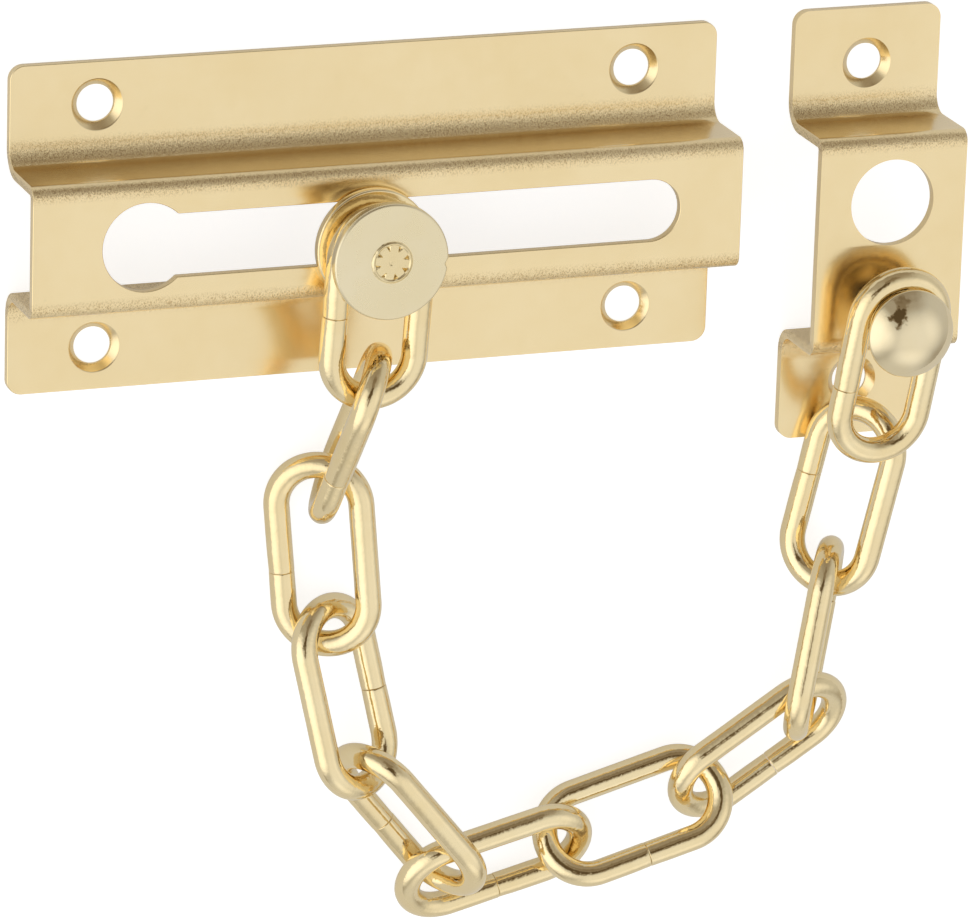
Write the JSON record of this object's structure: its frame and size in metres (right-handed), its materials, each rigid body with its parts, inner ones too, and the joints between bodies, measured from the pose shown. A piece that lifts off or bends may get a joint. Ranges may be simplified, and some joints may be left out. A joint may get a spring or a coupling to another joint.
{
  "type": "door chain guard",
  "caption": "Door chain guard: a hat-section track with a keyhole slot and a headed slider, a chain of oval wire links, and a keeper plate with a domed rivet.",
  "frame": {"origin": "middle of the track plate's screw pattern, in the plane of both plates' backs", "axes": "+X along the track towards the keeper, +Y to the track's upper side, +Z out of the plates' fronts"},
  "size_m": [0.1181, 0.1128, 0.0209],
  "materials": {
    "satin_sheet": "satin brass plating on stamped sheet",
    "satin_pin": "satin brass plating, staked end",
    "bright_wire": "bright brass plating on drawn wire",
    "bright_dome": "mirror-bright brass plating"
  },
  "bodies": {
    "track": {"track_plate": "satin_sheet"},
    "slider": {"slider_pin": "satin_pin", "rear_disc": "satin_sheet", "front_disc": "satin_sheet"},
    "link_01": {"chain_link_01": "bright_wire"},
    "link_02": {"chain_link_02": "bright_wire"},
    "link_03": {"chain_link_03": "bright_wire"},
    "link_04": {"chain_link_04": "bright_wire"},
    "link_05": {"chain_link_05": "bright_wire"},
    "link_06": {"chain_link_06": "bright_wire"},
    "link_07": {"chain_link_07": "bright_wire"},
    "link_08": {"chain_link_08": "bright_wire"},
    "link_09": {"chain_link_09": "bright_wire"},
    "link_10": {"chain_link_10": "bright_wire"},
    "link_11": {"chain_link_11": "bright_wire"},
    "keeper": {"keeper_plate": "satin_sheet", "keeper_rivet": "bright_dome"}
  },
  "joints": [
    {"name": "slider_slide", "type": "slide", "parent": "track", "child": "slider", "axis": [1, 0, 0], "range_m": [-0.02775, 0.0355]},
    {"name": "link_01_swing", "type": "hinge", "parent": "slider", "child": "link_01", "pos_m": [-0.0028, -0.0016, 0.0141], "axis": [0, 0, 1], "range_deg": [-31.5, 24.8]},
    {"name": "link_02_swing", "type": "hinge", "parent": "link_01", "child": "link_02", "pos_m": [-0.0018, -0.0156, 0.0108], "axis": [0, 0, 1], "range_deg": [-40, 20]},
    {"name": "link_03_swing", "type": "hinge", "parent": "link_02", "child": "link_03", "pos_m": [-0.0055, -0.0309, 0.0046], "axis": [0, 0, 1], "range_deg": [-16, 10]},
    {"name": "link_04_swing", "type": "hinge", "parent": "link_03", "child": "link_04", "pos_m": [-0.0077, -0.0518, 0.0044], "axis": [0, 0, -1], "range_deg": [-6, 18]},
    {"name": "link_05_swing", "type": "hinge", "parent": "link_04", "child": "link_05", "pos_m": [-0.0006, -0.0678, 0.0064], "axis": [0, 0, 1], "range_deg": [-24.8, 31.5]},
    {"name": "link_06_swing", "type": "hinge", "parent": "link_05", "child": "link_06", "pos_m": [0.009, -0.0836, 0.0048], "axis": [0, 0, 1], "range_deg": [-18, 4]},
    {"name": "link_07_swing", "type": "hinge", "parent": "link_06", "child": "link_07", "pos_m": [0.0275, -0.0841, 0.0048], "axis": [0, 0, -1], "range_deg": [-4, 15]},
    {"name": "link_08_swing", "type": "hinge", "parent": "link_07", "child": "link_08", "pos_m": [0.0431, -0.0749, 0.0054], "axis": [0, 0, 1], "range_deg": [-10, 5]},
    {"name": "link_09_swing", "type": "hinge", "parent": "link_08", "child": "link_09", "pos_m": [0.0538, -0.0665, 0.0072], "axis": [0, 0, 1], "range_deg": [-20, 5]},
    {"name": "link_10_swing", "type": "hinge", "parent": "link_09", "child": "link_10", "pos_m": [0.0602, -0.0492, 0.0056], "axis": [0, 0, 1], "range_deg": [-40, 6]},
    {"name": "link_11_swing", "type": "hinge", "parent": "link_10", "child": "link_11", "pos_m": [0.0622, -0.0256, 0.0096], "axis": [0, 0, -1], "range_deg": [-8, 40]},
    {"name": "keeper_swing", "type": "hinge", "parent": "link_11", "child": "keeper", "pos_m": [0.0642, -0.0156, 0.015], "axis": [0, 0, 1], "range_deg": [-35, 5]}
  ],
  "couplings": [
    {"joint": "link_01_swing", "follows": "slider_slide", "rad_per_m": -15.18},
    {"joint": "link_05_swing", "follows": "slider_slide", "rad_per_m": 15.18}
  ]
}
